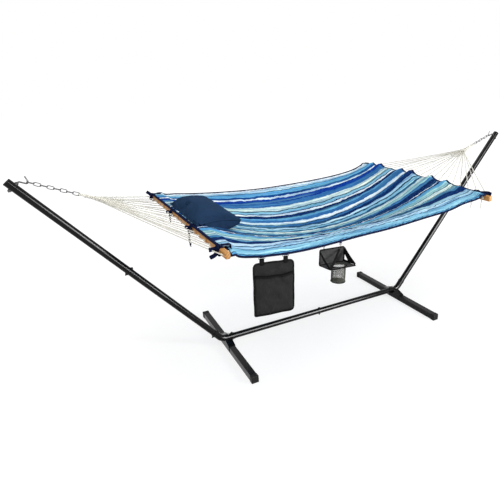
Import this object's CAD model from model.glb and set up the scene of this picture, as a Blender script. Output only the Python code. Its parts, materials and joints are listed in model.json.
"""Looks of a quilted hammock on a steel stand, round its CAD frame: cloth, ropes, webbing, pillow, bag and
cup holder."""

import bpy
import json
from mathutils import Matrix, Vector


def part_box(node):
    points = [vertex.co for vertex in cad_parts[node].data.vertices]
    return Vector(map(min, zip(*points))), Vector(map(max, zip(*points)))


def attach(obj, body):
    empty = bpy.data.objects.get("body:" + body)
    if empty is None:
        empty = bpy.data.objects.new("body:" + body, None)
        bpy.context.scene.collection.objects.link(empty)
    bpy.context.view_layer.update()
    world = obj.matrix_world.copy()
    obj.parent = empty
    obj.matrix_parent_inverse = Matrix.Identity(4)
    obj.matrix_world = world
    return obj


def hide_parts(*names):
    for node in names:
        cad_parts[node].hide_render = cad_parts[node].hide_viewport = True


bl_info = {
    "name": "Hammock on stand",
    "version": (1, 0, 0),
    "blender": (4, 5, 0),
    "location": "3D View > Sidebar > Hammock",
    "description": "Makes the soft pieces and finishes of a hammock on its stand, round the packed frame",
    "category": "Add Mesh",
}

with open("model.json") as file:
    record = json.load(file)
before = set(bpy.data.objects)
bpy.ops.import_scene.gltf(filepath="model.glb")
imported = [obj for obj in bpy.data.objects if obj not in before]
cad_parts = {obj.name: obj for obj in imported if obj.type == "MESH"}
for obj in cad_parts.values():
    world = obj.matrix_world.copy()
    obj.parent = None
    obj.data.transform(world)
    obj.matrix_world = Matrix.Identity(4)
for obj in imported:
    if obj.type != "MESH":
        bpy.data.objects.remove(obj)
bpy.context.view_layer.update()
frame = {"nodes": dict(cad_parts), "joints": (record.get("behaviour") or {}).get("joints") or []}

import json
import math

import bmesh
import bpy
import numpy as np
from mathutils import Matrix, Vector

X = np.array([1.0, 0.0, 0.0])
Y = np.array([0.0, 1.0, 0.0])
UP = np.array([0.0, 0.0, 1.0])
MM = 0.001


# ---------------------------------------------------------------- reading the frame
def vertices(mesh):
    """Places of a mesh's vertices, one row each."""
    out = np.empty(len(mesh.vertices) * 3)
    mesh.vertices.foreach_get("co", out)
    return out.reshape(-1, 3)


def node_points(name):
    """Corners of a CAD node's mesh."""
    return vertices(frame["nodes"][name].data)


def unit(v):
    """The direction of a vector."""
    return v / np.linalg.norm(v)


def extreme(points, direction, depth=1.5 * MM):
    """Middle of the corners that reach furthest along a direction."""
    reach = points @ direction
    chosen = points[reach > reach.max() - depth]
    return (chosen.min(axis=0) + chosen.max(axis=0)) / 2


def span(points, origin, direction):
    """Lowest and highest place of the points along a direction from an origin."""
    reach = (points - origin) @ direction
    return reach.min(), reach.max()


class End:
    """One end of the hammock, measured on the frame: bar, hem, clew and eye."""

    def __init__(self, side, sign):
        self.side = side
        bar = node_points("spreader_bar_" + side)
        self.along = unit(extreme(bar, Y, 20 * MM) - extreme(bar, -Y, 20 * MM))
        self.out = sign * np.array([self.along[1], -self.along[0], 0.0])
        self.bar = (bar.min(axis=0) + bar.max(axis=0)) / 2
        self.half_width, self.half_height = (span(bar, self.bar, axis)[1] for axis in (self.out, UP))
        hem = node_points("hem_" + side)
        self.hem_inner, self.hem_outer = span(hem, self.bar, self.out)
        self.hem_low, self.hem_high = span(hem, self.bar, UP)
        self.hem_half_length = span(hem, self.bar, self.along)[1]
        clew = node_points("clew_" + side)
        rise = (clew.min(axis=0) + clew.max(axis=0)) / 2 - self.bar
        self.pull = unit(np.array([sign * abs(rise[0]), 0.0, rise[2]]))
        self.clew_wide = extreme(clew, -self.pull)
        self.clew_neck = extreme(clew, self.pull)

    def place(self, outwards, along, up):
        """Point at distances outwards, along and above the bar's middle; each may be an array."""
        outwards, along, up = np.broadcast_arrays(outwards, along, up)
        return (self.bar + outwards[..., None] * self.out + along[..., None] * self.along
                + up[..., None] * UP)

    def places(self, points):
        """Row of points, each given as (outwards, along, up)."""
        return [self.place(*point) for point in points]


ENDS = {"left": End("left", -1.0), "right": End("right", 1.0)}


# ---------------------------------------------------------------- settings
def length(name, description, value):
    """Setting in metres."""
    return bpy.props.FloatProperty(name=name, description=description, default=value, min=0.0,
                                   unit="LENGTH", precision=4)


def colour(name, description, value):
    """Setting for a colour, in linear values."""
    return bpy.props.FloatVectorProperty(name=name, description=description, default=value, size=3,
                                         min=0.0, max=1.0, subtype="COLOR")


def angle(name, description, degrees):
    """Setting for an angle."""
    return bpy.props.FloatProperty(name=name, description=description, default=math.radians(degrees),
                                   subtype="ANGLE")


class HammockClothSettings(bpy.types.PropertyGroup):
    """Shape of the quilted bed and the pillow"""
    centre_sag: length("Centre sag", "Drop of the bed's middle under the line between the hems", 0.203)
    edge_sag: length("Edge sag", "Drop of the long edges under the same line", 0.077)
    thickness: length("Thickness", "Padding between the seams", 0.008)
    puff: length("Quilting puff", "Height of the padding between lines of stitching", 0.006)
    quilt_along: length("Quilting length", "Size of a quilted diamond along the bed", 0.19)
    quilt_across: length("Quilting width", "Size of a quilted diamond across the bed", 0.15)
    fold: length("Hem folds", "Height of the folds that start at the foot end's hem", 0.027)
    hem_raise: length("Hem raise", "How far the foot end's hem rides up between the folds", 0.012)
    droop: length("Corner droop", "How far the near corner hangs at the head end", 0.021)
    pillow_seam: length("Pillow seam", "Height of the pillow's seam at its middle", 0.883)
    pillow_crown: length("Pillow crown", "Height of the pillow above its seam", 0.074)
    pillow_belly: length("Pillow belly", "Depth of the pillow below its seam", 0.085)
    roll: length("Near edge roll", "Fullness of the band along the near edge", 0.012)


class HammockColours(bpy.types.PropertyGroup):
    """Colours of the pieces"""
    paint: colour("Stand paint", "Powder coat of the tubes", (0.0032, 0.0032, 0.0034))
    navy: colour("Navy tape", "Hem binding, straps and ties", (0.007, 0.011, 0.042))
    pillow: colour("Pillow", "Cloth of the pillow", (0.015, 0.038, 0.085))
    black: colour("Black cloth", "Cloth of the bag", (0.016, 0.016, 0.0165))
    grey: colour("Grey cloth", "Cloth of the cup holder", (0.064, 0.064, 0.064))
    rope: colour("Rope", "Cream polyester rope", (0.79, 0.775, 0.70))
    wood: colour("Wood", "Varnished spreader bars", (0.49, 0.225, 0.060))


class HammockRopeSettings(bpy.types.PropertyGroup):
    """Sizes of the ropes"""
    strands: bpy.props.IntProperty(name="Ropes a side", description="Ropes in each fan", default=18, min=2)
    pitch: length("Rope spacing", "Distance between the holes in a bar", 0.075)
    radius: length("Rope radius", "Half the thickness of a fan rope", 0.0030)
    lay: length("Rope lay", "Length of one full twist", 0.020)


class HammockStageSettings(bpy.types.PropertyGroup):
    """Camera and light"""
    lens: bpy.props.FloatProperty(name="Lens", description="Focal length in millimetres", default=31.41)
    shift: bpy.props.FloatProperty(name="Lens shift", description="Sideways shift of the lens",
                                   default=-0.09)
    yaw: angle("Yaw", "Turn to the right of looking along +Y", 28.098)
    pitch: angle("Pitch", "Tilt downwards", 20.238)
    roll: angle("Roll", "Turn about the line of sight", -1.531)
    place: bpy.props.FloatVectorProperty(name="Place", description="Where the camera stands",
                                         default=(-1.396, -2.298, 1.500), subtype="TRANSLATION")


# ---------------------------------------------------------------- mesh building
class Pile:
    """Grids and polygons gathered into one mesh, with a UV map in metres."""

    def __init__(self):
        self.points = []
        self.faces = []
        self.uvs = []
        self.count = 0

    def grid(self, points, uv=None, wrap_rows=False, wrap_columns=False, caps=False, flip=False):
        """Quads over a (rows, columns, 3) array of points."""
        rows, columns = points.shape[:2]
        if uv is None:
            uv = lengths_over(points, wrap_rows, wrap_columns)
        r = np.arange(rows if wrap_rows else rows - 1)
        c = np.arange(columns if wrap_columns else columns - 1)
        r, c = (a.ravel() for a in np.meshgrid(r, c, indexing="ij"))
        corners = [(r, c), (r, c + 1), (r + 1, c + 1), (r + 1, c)]
        if flip:
            corners = corners[::-1]
        faces = np.stack([(a % rows) * columns + b % columns for a, b in corners], axis=1) + self.count
        self.uvs.append(np.stack([uv[a, b] for a, b in corners], axis=1).reshape(-1, 2))
        self.faces += faces.tolist()
        if caps:
            ring = np.arange(columns) + self.count
            first, last = ring.tolist(), (ring + (rows - 1) * columns).tolist()
            self.faces += [first, last[::-1]] if flip else [first[::-1], last]
            self.uvs.append(np.zeros((2 * columns, 2)))
        self.points.append(points.reshape(-1, 3))
        self.count += rows * columns
        return self

    def tube(self, path, profile, closed=False, **shape):
        """A profile swept along a path: joined up if closed, otherwise capped."""
        return self.grid(swept(path, profile, closed, **shape), wrap_rows=closed, wrap_columns=True,
                         caps=not closed)

    def slab(self, front, back, uv):
        """Two grids back to back, closed along their four edges."""
        self.grid(front, uv).grid(back, uv, flip=True)
        for cut, flip in ((np.s_[0], True), (np.s_[-1], False), (np.s_[:, 0], False), (np.s_[:, -1], True)):
            self.grid(np.stack([front[cut], back[cut]]), np.stack([uv[cut], uv[cut]]), flip=flip)
        return self

    def build(self, name, finish, body, replaces=()):
        """The finished piece, riding on its body."""
        piece = smooth_mesh(name, np.concatenate(self.points), self.faces, np.concatenate(self.uvs))
        return finish_piece(piece, finish, body, replaces)


def linked(name, data):
    """New object in the scene."""
    made = bpy.data.objects.new(name, data)
    bpy.context.scene.collection.objects.link(made)
    return made


def smooth_mesh(name, points, faces, uv):
    """Smooth mesh in the scene, with a UV for each corner of each face."""
    mesh = bpy.data.meshes.new(name)
    mesh.from_pydata(points.tolist(), [], faces)
    mesh.uv_layers.new(name="UVMap").data.foreach_set("uv", uv.ravel())
    mesh.polygons.foreach_set("use_smooth", [True] * len(mesh.polygons))
    mesh.validate()
    return linked(name, mesh)


def finish_piece(piece, finish, body, replaces=()):
    """Gives a piece its material, that material's slot, its body and the CAD nodes it stands for."""
    piece.data.materials.append(material(finish))
    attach(piece, body)
    if replaces:
        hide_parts(*replaces)
    return piece


def running_length(points, axis):
    """Length so far along an axis of a grid or path of points, averaged over the rest."""
    steps = np.linalg.norm(np.diff(points, axis=axis), axis=-1)
    if steps.ndim > 1:
        steps = steps.mean(axis=1 - axis)
    return np.concatenate([[0], np.cumsum(steps)])


def lengths_over(points, wrap_rows, wrap_columns):
    """UV in metres over a grid: u along the rows' direction, v along the columns'."""
    u = running_length(np.concatenate([points, points[:1]]) if wrap_rows else points, 0)
    v = running_length(np.concatenate([points, points[:, :1]], axis=1) if wrap_columns else points, 1)
    return np.stack(np.meshgrid(u, v, indexing="ij"), axis=-1)


def curve_through(points, steps):
    """Smooth path through the points (Catmull-Rom), steps samples to each span."""
    p = np.asarray(points, float)
    p = np.concatenate([2 * p[:1] - p[1:2], p, 2 * p[-1:] - p[-2:-1]])
    t = np.linspace(0, 1, steps, endpoint=False)[:, None]
    out = [0.5 * (2 * b + (c - a) * t + (2 * a - 5 * b + 4 * c - d) * t ** 2
                  + (3 * b - a - 3 * c + d) * t ** 3)
           for a, b, c, d in zip(p, p[1:], p[2:], p[3:])]
    return np.concatenate(out + [p[-2:-1]])


def even_steps(path, step):
    """The path again, at even steps of about that length."""
    lengths = running_length(path, 0)
    where = np.linspace(0, lengths[-1], max(3, int(lengths[-1] / step) + 1))
    return np.stack([np.interp(where, lengths, column) for column in path.T], axis=1)


def even_loop(path, step):
    """A closed path at even steps; its first point isn't repeated at its end."""
    return even_steps(np.concatenate([path, path[:1]]), step)[:-1]


def frames_along(path, closed, side):
    """Unit side and top vectors at each point. A given side vector is kept, otherwise they don't twist."""
    if closed:
        tangent = np.roll(path, -1, axis=0) - np.roll(path, 1, axis=0)
    else:
        tangent = np.gradient(path, axis=0)
    tangent /= np.linalg.norm(tangent, axis=1)[:, None]
    if side is not None:
        sides = np.broadcast_to(side, path.shape).astype(float)
        sides = sides - (sides * tangent).sum(axis=1)[:, None] * tangent
        sides /= np.linalg.norm(sides, axis=1)[:, None]
        return sides, np.cross(tangent, sides)
    start = UP if abs(tangent[0, 2]) < 0.9 else X
    current = unit(np.cross(start, tangent[0]))
    sides = [current]
    for t in tangent[1:]:
        current = unit(current - (current @ t) * t)
        sides.append(current)
    return np.array(sides), np.cross(tangent, sides)


def swept(path, profile, closed=False, side=None, scale=None, turn=None):
    """Grid of points: a closed 2D profile carried along a path, scaled and turned on the way."""
    sides, tops = frames_along(path, closed, side)
    a = np.repeat(profile[None, :, 0], len(path), axis=0)
    b = np.repeat(profile[None, :, 1], len(path), axis=0)
    if scale is not None:
        a, b = a * scale[:, None], b * scale[:, None]
    if turn is not None:
        c, s = np.cos(turn)[:, None], np.sin(turn)[:, None]
        a, b = a * c - b * s, a * s + b * c
    return path[:, None] + a[..., None] * sides[:, None] + b[..., None] * tops[:, None]


def full_turn(count):
    """Angles evenly round a circle."""
    return np.linspace(0, 2 * np.pi, count, endpoint=False)


def polar(turn, radius):
    """2D points at angles and distances from the origin."""
    return np.stack([np.cos(turn) * radius, np.sin(turn) * radius], axis=1)


def circle(radius, n):
    """Round section with n corners."""
    return polar(full_turn(n), radius)


def laid_rope(radius):
    """Section of a three-strand rope."""
    turn = full_turn(12)
    return polar(turn, radius * (0.86 + 0.14 * np.abs(np.cos(1.5 * turn))))


def flat_band(width, thickness):
    """Section of a tape with rounded edges."""
    r = thickness / 2
    edge = polar(np.linspace(-np.pi / 2, np.pi / 2, 6), r) + [width / 2 - r, 0]
    fill = np.linspace(width / 2 - r, r - width / 2, 6)[1:-1]
    top = np.stack([fill, np.full_like(fill, r)], axis=1)
    return np.concatenate([edge, top, -edge, -top])


def boxy(half_width, half_height):
    """Closed section between an oval and a box."""
    round_points = circle(1.0, 20)
    return np.sign(round_points) * np.abs(round_points) ** 0.5 * [half_width, half_height]


def rectangle(low, high, inset=0.0):
    """Corners of a rectangle drawn in by a margin, anticlockwise from the lowest."""
    (x0, y0), (x1, y1) = np.add(low, inset), np.subtract(high, inset)
    return [(x0, y0), (x1, y0), (x1, y1), (x0, y1)]


def rounded_outline(corners, radius, steps=6):
    """Closed 2D outline through the corners, each rounded."""
    corners = np.asarray(corners, float)
    radii = np.broadcast_to(radius, len(corners))
    out = []
    for i, p in enumerate(corners):
        a, b = corners[i - 1] - p, corners[(i + 1) % len(corners)] - p
        la, lb = np.linalg.norm(a), np.linalg.norm(b)
        half = math.acos(np.clip(a @ b / (la * lb), -1, 1)) / 2
        trim = min(radii[i] / math.tan(half), la / 2.02, lb / 2.02)
        t = np.linspace(0, 1, steps)[:, None]
        start, end = p + a / la * trim, p + b / lb * trim
        out.append((1 - t) ** 2 * start + 2 * t * (1 - t) * p + t ** 2 * end)
    return np.concatenate(out)


RIPPLE_WAVES = 7


def ripple(x, y, size, seed):
    """Smooth uneven field from about -1 to 1, with features of about that size."""
    rng = np.random.default_rng(seed)
    total = np.zeros(np.broadcast(x, y).shape)
    for _ in range(RIPPLE_WAVES):
        turn, phase, k = rng.uniform(0, 2 * np.pi), rng.uniform(0, 2 * np.pi), rng.uniform(0.6, 1.7)
        total += np.sin((x * math.cos(turn) + y * math.sin(turn)) * 2 * np.pi * k / size + phase)
    return total / RIPPLE_WAVES * 1.6


# ---------------------------------------------------------------- materials
class Recipe:
    """The node tree of a material or world, built step by step."""

    def __init__(self, owner):
        self.owner = owner
        owner.use_nodes = True
        self.tree = owner.node_tree
        self.shader = self.tree.nodes.get("Principled BSDF")

    def node(self, kind, settings=None, **inputs):
        """New node with its settings and its inputs: values or other nodes' outputs."""
        made = self.tree.nodes.new("ShaderNode" + kind)
        for key, value in (settings or {}).items():
            setattr(made, key, value)
        for key, value in inputs.items():
            self.feed(made, key.replace("_", " "), value)
        return made

    def feed(self, node, key, value):
        """Sets or links an input, named or numbered."""
        socket = node.inputs[int(key)] if key.isdigit() else node.inputs[key]
        if isinstance(value, bpy.types.NodeSocket):
            self.tree.links.new(value, socket)
        else:
            socket.default_value = value

    def maths(self, operation, a, b=0.0):
        made = self.node("Math", {"operation": operation})
        self.feed(made, "0", a)
        self.feed(made, "1", b)
        return made.outputs[0]

    def mix(self, factor, a, b, blend="MIX"):
        made = self.node("Mix", {"data_type": "RGBA", "blend_type": blend})
        for key, value in (("0", factor), ("6", a), ("7", b)):
            self.feed(made, key, value)
        return made.outputs[2]

    def mottle(self, factor, tint, low, high):
        """A tint that goes from one share of its strength to another."""
        return self.mix(factor, rgba(tint, low), rgba(tint, high))

    def ramp(self, value, stops, interpolation="LINEAR"):
        made = self.node("ValToRGB", Fac=value)
        elements = made.color_ramp.elements
        made.color_ramp.interpolation = interpolation
        while len(elements) > 1:
            elements.remove(elements[0])
        elements[0].position, elements[0].color = stops[0]
        for place, tint in stops[1:]:
            elements.new(place).color = tint
        return made.outputs["Color"]

    def spread(self, value, **limits):
        """A value mapped from one range to another."""
        return self.node("MapRange", Value=value, **limits).outputs[0]

    def coordinates(self, source="Object", scale=(1, 1, 1)):
        place = self.node("TexCoord").outputs[source]
        return self.node("Mapping", Vector=place, Scale=scale).outputs["Vector"]

    def noise(self, vector, scale, detail=3.0, roughness=0.5):
        made = self.node("TexNoise", Vector=vector, Scale=scale, Detail=detail, Roughness=roughness)
        return made.outputs[0]

    def stretched(self, source, scale, detail=3.0, roughness=0.5):
        """Noise drawn out by a different scale on each axis."""
        return self.noise(self.coordinates(source, scale), 1.0, detail, roughness)

    def bump(self, height, distance, strength=1.0, **under):
        return self.node("Bump", Height=height, Distance=distance, Strength=strength,
                         **under).outputs["Normal"]

    def weave(self, thread, pitch_ratio=1.0):
        """Height of a plain weave with threads that wide, in the units of the UV map."""
        axes = self.node("SeparateXYZ", Vector=self.node("TexCoord").outputs["UV"])
        k = math.pi / thread
        waves = [self.maths("SINE", self.maths("MULTIPLY", axis, rate))
                 for axis, rate in zip(axes.outputs[:2], (k, k * pitch_ratio))]
        return self.maths("MULTIPLY", *waves)

    def done(self, **inputs):
        """Sets the shader's inputs and gives the finished material."""
        for key, value in inputs.items():
            self.feed(self.shader, key.replace("_", " "), value)
        return self.owner

    def mix_shaders(self, factor, a, b):
        made = self.node("MixShader", Fac=factor)
        self.feed(made, "1", a.outputs[0])
        self.feed(made, "2", b.outputs[0])
        return made.outputs[0]

    def seen(self):
        """1 where the camera looks, straight or by reflection or through glass, otherwise 0."""
        rays = self.node("LightPath").outputs
        straight = self.maths("MAXIMUM", rays["Is Camera Ray"], rays["Is Glossy Ray"])
        return self.maths("MAXIMUM", straight, rays["Is Transmission Ray"])


def rgba(tint, factor=1.0):
    """A tint made stronger or weaker, no brighter than white, with its alpha."""
    return (*(min(part * factor, 1) for part in tint), 1.0)


MADE = {}


def material(name):
    """The named finish, made once; the colours that it names are the settings'."""
    if name not in MADE:
        recipe, *details = FINISHES[name]
        colours = bpy.context.scene.hammock_colours
        details = [getattr(colours, d) if isinstance(d, str) else d for d in details]
        MADE[name] = recipe(Recipe(bpy.data.materials.new(name)), *details)
    return MADE[name]


def powder_coat(r, tint):
    place = r.coordinates()
    wear = r.noise(place, 14.0, 4.0)
    return r.done(Base_Color=r.mottle(r.maths("MULTIPLY", wear, 0.6), tint, 1.0, 1.8),
                  Roughness=r.spread(wear, To_Min=0.12, To_Max=0.20), Specular_IOR_Level=0.13,
                  Normal=r.bump(r.noise(place, 900.0, 2.0), 0.0002, 0.2))


def moulded_plastic(r):
    place = r.coordinates()
    base = r.mix(r.noise(place, 30.0), (0.008, 0.008, 0.009, 1), (0.020, 0.020, 0.021, 1))
    return r.done(Base_Color=base, Roughness=0.48, Specular_IOR_Level=0.08,
                  Normal=r.bump(r.noise(place, 1400.0), 0.0003, 0.5))


def zinc(r, tint, smoothest, roughest):
    place = r.coordinates()
    cloud = r.noise(place, 160.0, 5.0, 0.6)
    return r.done(Base_Color=r.mottle(cloud, tint, 0.72, 1.12), Metallic=1.0,
                  Roughness=r.spread(cloud, To_Min=smoothest, To_Max=roughest),
                  Normal=r.bump(r.noise(place, 2200.0, 2.0), 0.0002, 0.3))


def rope_fibre(r, tint):
    """Spun yarns across the rope, with loose fibres and uneven bleaching."""
    fibre = r.noise(r.coordinates(), 2600.0, 3.0, 0.6)
    yarn = r.node("TexWave", {"wave_type": "BANDS", "bands_direction": "DIAGONAL"},
                  Vector=r.coordinates("UV"), Scale=260.0, Distortion=1.5, Detail=2.0).outputs[1]
    base = r.mottle(r.noise(r.coordinates(), 45.0), tint, 0.92, 1.06)
    base = r.mix(r.maths("MULTIPLY", fibre, 0.12), base, rgba(tint, 0.7))
    relief = r.bump(fibre, 0.0003, 0.4, Normal=r.bump(yarn, 0.0004, 0.3))
    return r.done(Base_Color=base, Roughness=0.9, Specular_IOR_Level=0.02, Sheen_Weight=0.05,
                  Sheen_Roughness=0.5, Normal=relief)


def tan_cord(r, tint):
    fibre = r.noise(r.coordinates(), 1900.0, 3.0, 0.6)
    return r.done(Base_Color=r.mottle(fibre, tint, 0.75, 1.15), Roughness=0.9, Specular_IOR_Level=0.02,
                  Normal=r.bump(fibre, 0.0003, 0.6))


def varnished_wood(r, tint):
    """Rings and long grain, with the varnish yellower in places."""
    place = r.coordinates("Object", (26.0, 1.6, 26.0))
    grain = r.stretched("Object", (240.0, 5.0, 240.0), 6.0, 0.62)
    rings = r.node("TexWave", {"wave_type": "RINGS", "rings_direction": "Y"}, Vector=place, Scale=1.3,
                   Distortion=6.0, Detail=3.0, Detail_Scale=1.2).outputs[1]
    base = r.mottle(rings, tint, 0.80, 1.55)
    base = r.mix(r.maths("POWER", grain, 2.0), base, rgba(tint, 0.30))
    drift = r.noise(place, 1.2, 4.0, 0.6)
    base = r.mix(r.maths("MULTIPLY", drift, 0.30), base, rgba((0.72, 0.42, 0.18)))
    return r.done(Base_Color=base, Roughness=0.45, Specular_IOR_Level=0.12,
                  Normal=r.bump(grain, 0.0004, 0.35))


def tape(r, tint, share=1.0):
    """Woven tape: a tight rib across, worn lighter on its high threads."""
    tint = [part * share for part in tint]
    rib = r.weave(0.0011)
    base = r.mottle(r.noise(r.coordinates(), 60.0, 4.0), tint, 0.7, 1.3)
    high = r.maths("MULTIPLY", r.maths("MAXIMUM", rib, 0.0), 0.3)
    return r.done(Base_Color=r.mix(high, base, rgba(tint, 1.8)), Roughness=0.85, Specular_IOR_Level=0.02,
                  Normal=r.bump(rib, 0.0004, 0.8))


def wrinkled_cloth(r, tint):
    """Thin plain cloth with soft creases."""
    cloud = r.noise(r.coordinates(), 26.0, 5.0, 0.6)
    wrinkle = r.bump(r.noise(r.coordinates(), 34.0, 4.0, 0.6), 0.008, 0.6)
    return r.done(Base_Color=r.mottle(cloud, tint, 0.55, 1.5), Roughness=0.6, Specular_IOR_Level=0.04,
                  Normal=r.bump(r.weave(0.0009), 0.0003, 0.7, Normal=wrinkle))


def pillow_cloth(r, tint):
    """Plain weave with long slubs and shallow creases."""
    base = r.mottle(r.noise(r.coordinates(), 16.0, 4.0, 0.55), tint, 0.8, 1.2)
    slub = r.stretched("Object", (420.0, 30.0, 420.0))
    base = r.mix(r.maths("MULTIPLY", slub, 0.15), base, rgba(tint, 2.0))
    crease = r.bump(r.noise(r.coordinates(), 30.0), 0.003, 0.35)
    return r.done(Base_Color=base, Roughness=0.85, Specular_IOR_Level=0.02,
                  Normal=r.bump(r.weave(0.0010), 0.0003, 0.6, Normal=crease))


def cup_net(r):
    base = r.mix(r.noise(r.coordinates(), 300.0, 2.0), (0.07, 0.075, 0.06, 1), (0.17, 0.175, 0.145, 1))
    return r.done(Base_Color=base, Roughness=0.7, Specular_IOR_Level=0.08)


# woven stripes from the far edge to the near one: dye and share of the width
STRIPES = (
    ("white", 55), ("ice", 38), ("teal", 12), ("sky", 58), ("blue", 40), ("white", 28),
    ("royal", 72), ("steel", 62), ("ivory", 65), ("teal", 17), ("aqua", 33), ("navy", 17),
    ("white", 28), ("navy", 52), ("sky", 32), ("steel", 50), ("white", 50), ("teal", 16),
    ("steel", 32), ("navy", 42), ("ice", 35), ("teal", 20), ("aqua", 42), ("slate", 32),
    ("ivory", 50), ("teal", 6), ("mint", 44), ("steel", 30), ("navy", 58), ("white", 10),
    ("navy", 26), ("sky", 45), ("mint", 40), ("teal", 7), ("ivory", 38), ("teal", 7),
    ("mint", 28), ("steel", 32), ("navy", 62), ("lavender", 36), ("teal", 8), ("ice", 30),
    ("navy", 8), ("aqua", 56), ("teal", 4), ("sky", 12),
)
DYES = {
    "white": (0.70, 0.84, 0.95), "ivory": (0.54, 0.71, 0.74), "lavender": (0.40, 0.60, 0.81),
    "ice": (0.36, 0.60, 0.80), "mint": (0.24, 0.48, 0.56), "aqua": (0.22, 0.50, 0.70),
    "sky": (0.10, 0.35, 0.66), "steel": (0.030, 0.14, 0.38), "blue": (0.007, 0.062, 0.27),
    "slate": (0.010, 0.068, 0.19), "royal": (0.0010, 0.032, 0.29), "navy": (0.0008, 0.015, 0.10),
    "teal": (0.0012, 0.030, 0.075),
}
PLAIN = (1.0, 1.0, 1.0, 1)
# yarn that darkens and lightens the stripes along its length: scale, detail, roughness, noise where
# the shade is darkest, plain from, plain to and lightest, darkest and lightest shade
SLUBS = ((3.5, 125.0, 1.0), 5.0, 0.7, (0.38, 0.46, 0.53, 0.60), (0.30, 0.44, 0.58, 1),
         (1.70, 1.45, 1.22, 1))
PICKS = ((1.6, 54.0, 1.0), 2.0, 0.5, (0.33, 0.45, 0.56, 0.68), (0.42, 0.55, 0.70, 1),
         (1.75, 1.50, 1.25, 1))
# patches of another tint: scale, detail, roughness, noise where they start and are full, share, tint
GREEN_PATCHES = ((1.2, 31.0, 5.0), 2.0, 0.5, 0.52, 0.66, 0.40, (0.16, 0.46, 0.52, 1.0))
BLUE_FLECKS = ((60.0, 700.0, 1.0), 3.0, 0.6, 0.54, 0.74, 0.45, (0.13, 0.40, 0.68, 1.0))
# slow wander of the stripes' edges: scale, detail and share of the width
WANDERS = (((11.0, 5.0, 1.0), 3.0, 0.022), ((36.0, 16.0, 1.0), 2.0, 0.012))


def striped_cloth(r):
    """Woven stripes with slubs along the yarn and a fine weave. U is in metres, V runs from 0 to 1."""
    across = r.node("SeparateXYZ", Vector=r.node("TexCoord").outputs["UV"]).outputs[1]
    for scale, detail, sway in WANDERS:
        drift = r.maths("SUBTRACT", r.stretched("UV", scale, detail), 0.5)
        across = r.maths("ADD", across, r.maths("MULTIPLY", drift, sway))
    base = stripes(r, across)
    for scale, detail, roughness, places, dark, light in (SLUBS, PICKS):
        yarn = r.stretched("UV", scale, detail, roughness)
        base = r.mix(1.0, base, r.ramp(yarn, list(zip(places, (dark, PLAIN, PLAIN, light)))), "MULTIPLY")
    for scale, detail, roughness, low, high, most, tint in (GREEN_PATCHES, BLUE_FLECKS):
        patches = r.stretched("UV", scale, detail, roughness)
        amount = r.spread(patches, From_Min=low, From_Max=high, To_Max=most)
        base = r.mix(amount, base, tint)
    pucker = r.bump(r.stretched("UV", (55.0, 40.0, 1.0), 4.0, 0.55), 0.009, 0.6)
    return r.done(Base_Color=base, Roughness=0.95, Specular_IOR_Level=0.03,
                  Normal=r.bump(r.weave(0.0016, 1.3), 0.0003, 0.5, Normal=pucker))


def stripes(r, across):
    """The dyes across the cloth, in two ramps because one holds too few stops."""
    edges = np.cumsum([0] + [width for _, width in STRIPES]) / sum(width for _, width in STRIPES)
    half = len(STRIPES) // 2
    middle = float(edges[half])
    halves = []
    for first, last, low, high in ((0, half, 0.0, middle), (half, len(STRIPES), middle, 1.0)):
        stops = [((float(edges[i]) - low) / (high - low), rgba(DYES[STRIPES[i][0]]))
                 for i in range(first, last)]
        halves.append(r.ramp(r.spread(across, From_Min=low, From_Max=high), stops, "CONSTANT"))
    return r.mix(r.maths("GREATER_THAN", across, middle), *halves)


FINISHES = {
    "powder_coat": (powder_coat, "paint"),
    "moulded_plastic": (moulded_plastic,),
    "zinc_plate": (zinc, (0.52, 0.52, 0.51), 0.22, 0.42),
    "black_zinc": (zinc, (0.018, 0.018, 0.019), 0.35, 0.50),
    "chain_zinc": (zinc, (0.085, 0.085, 0.088), 0.32, 0.5),
    "rope_fibre": (rope_fibre, "rope"),
    "tan_cord": (tan_cord, "wood"),
    "varnished_wood": (varnished_wood, "wood"),
    "navy_tape": (tape, "navy"),
    "black_tape": (tape, "black", 0.6),
    "black_cloth": (wrinkled_cloth, "black"),
    "grey_cloth": (wrinkled_cloth, "grey"),
    "pillow_cloth": (pillow_cloth, "pillow"),
    "cup_net": (cup_net,),
    "striped_cloth": (striped_cloth,),
}

# what each CAD node that stays in view is finished with
CAD_FINISHES = {
    "powder_coat": ("foot_tube", "saddle", "elbow", "lower_arm", "upper_arm", "beam"),
    "moulded_plastic": ("foot_end_caps", "arm_end_plugs"),
    "black_zinc": ("joint_", "foot_nuts", "foot_washers"),
    "zinc_plate": ("foot_bolts",),
    "chain_zinc": ("chain_", "hanger_rings", "hook_"),
    "varnished_wood": ("spreader_bar",),
    "navy_tape": ("hanger_tabs",),
    "black_tape": ("cup_cords",),
}


# ---------------------------------------------------------------- bed
# half the bed's width from the head (0) to the foot (1)
HALF_WIDTHS = ((0.0, 0.645), (0.07, 0.702), (0.5, 0.634), (0.92, 0.611), (1.0, 0.624))
EDGE_FULLNESS = 0.55
HOLLOW_POWER = 1.7
# sharp folds along the foot end's hem: place across (near -1, far 1) and share of the fold height
FOLDS = ((0.815, 0.85), (0.633, 1.0), (0.42, 0.25), (0.204, 0.95), (0.013, 1.2), (-0.32, 1.0),
         (-0.55, 0.8), (-0.757, 0.35), (-0.976, 0.5))
FOLD_SHARPNESS = 1.05
FOLD_REACH, RAISE_REACH = 0.19, 0.09  # shares of the length, from the foot end
HEAD_FOLDS, HEAD_FOLD_SHARE, HEAD_FOLD_REACH = 4.0, 0.12, 0.06
CORNER_WIDTH, ROLL_WIDTH = 0.22, 0.38  # shares of half the width, from the near edge
BED_ROWS, BED_COLUMNS, HEM_ROWS = 360, 300, 6
QUILTING_STARTS, GATHER_REACH = 0.035, 0.045  # from the long edges


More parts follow.
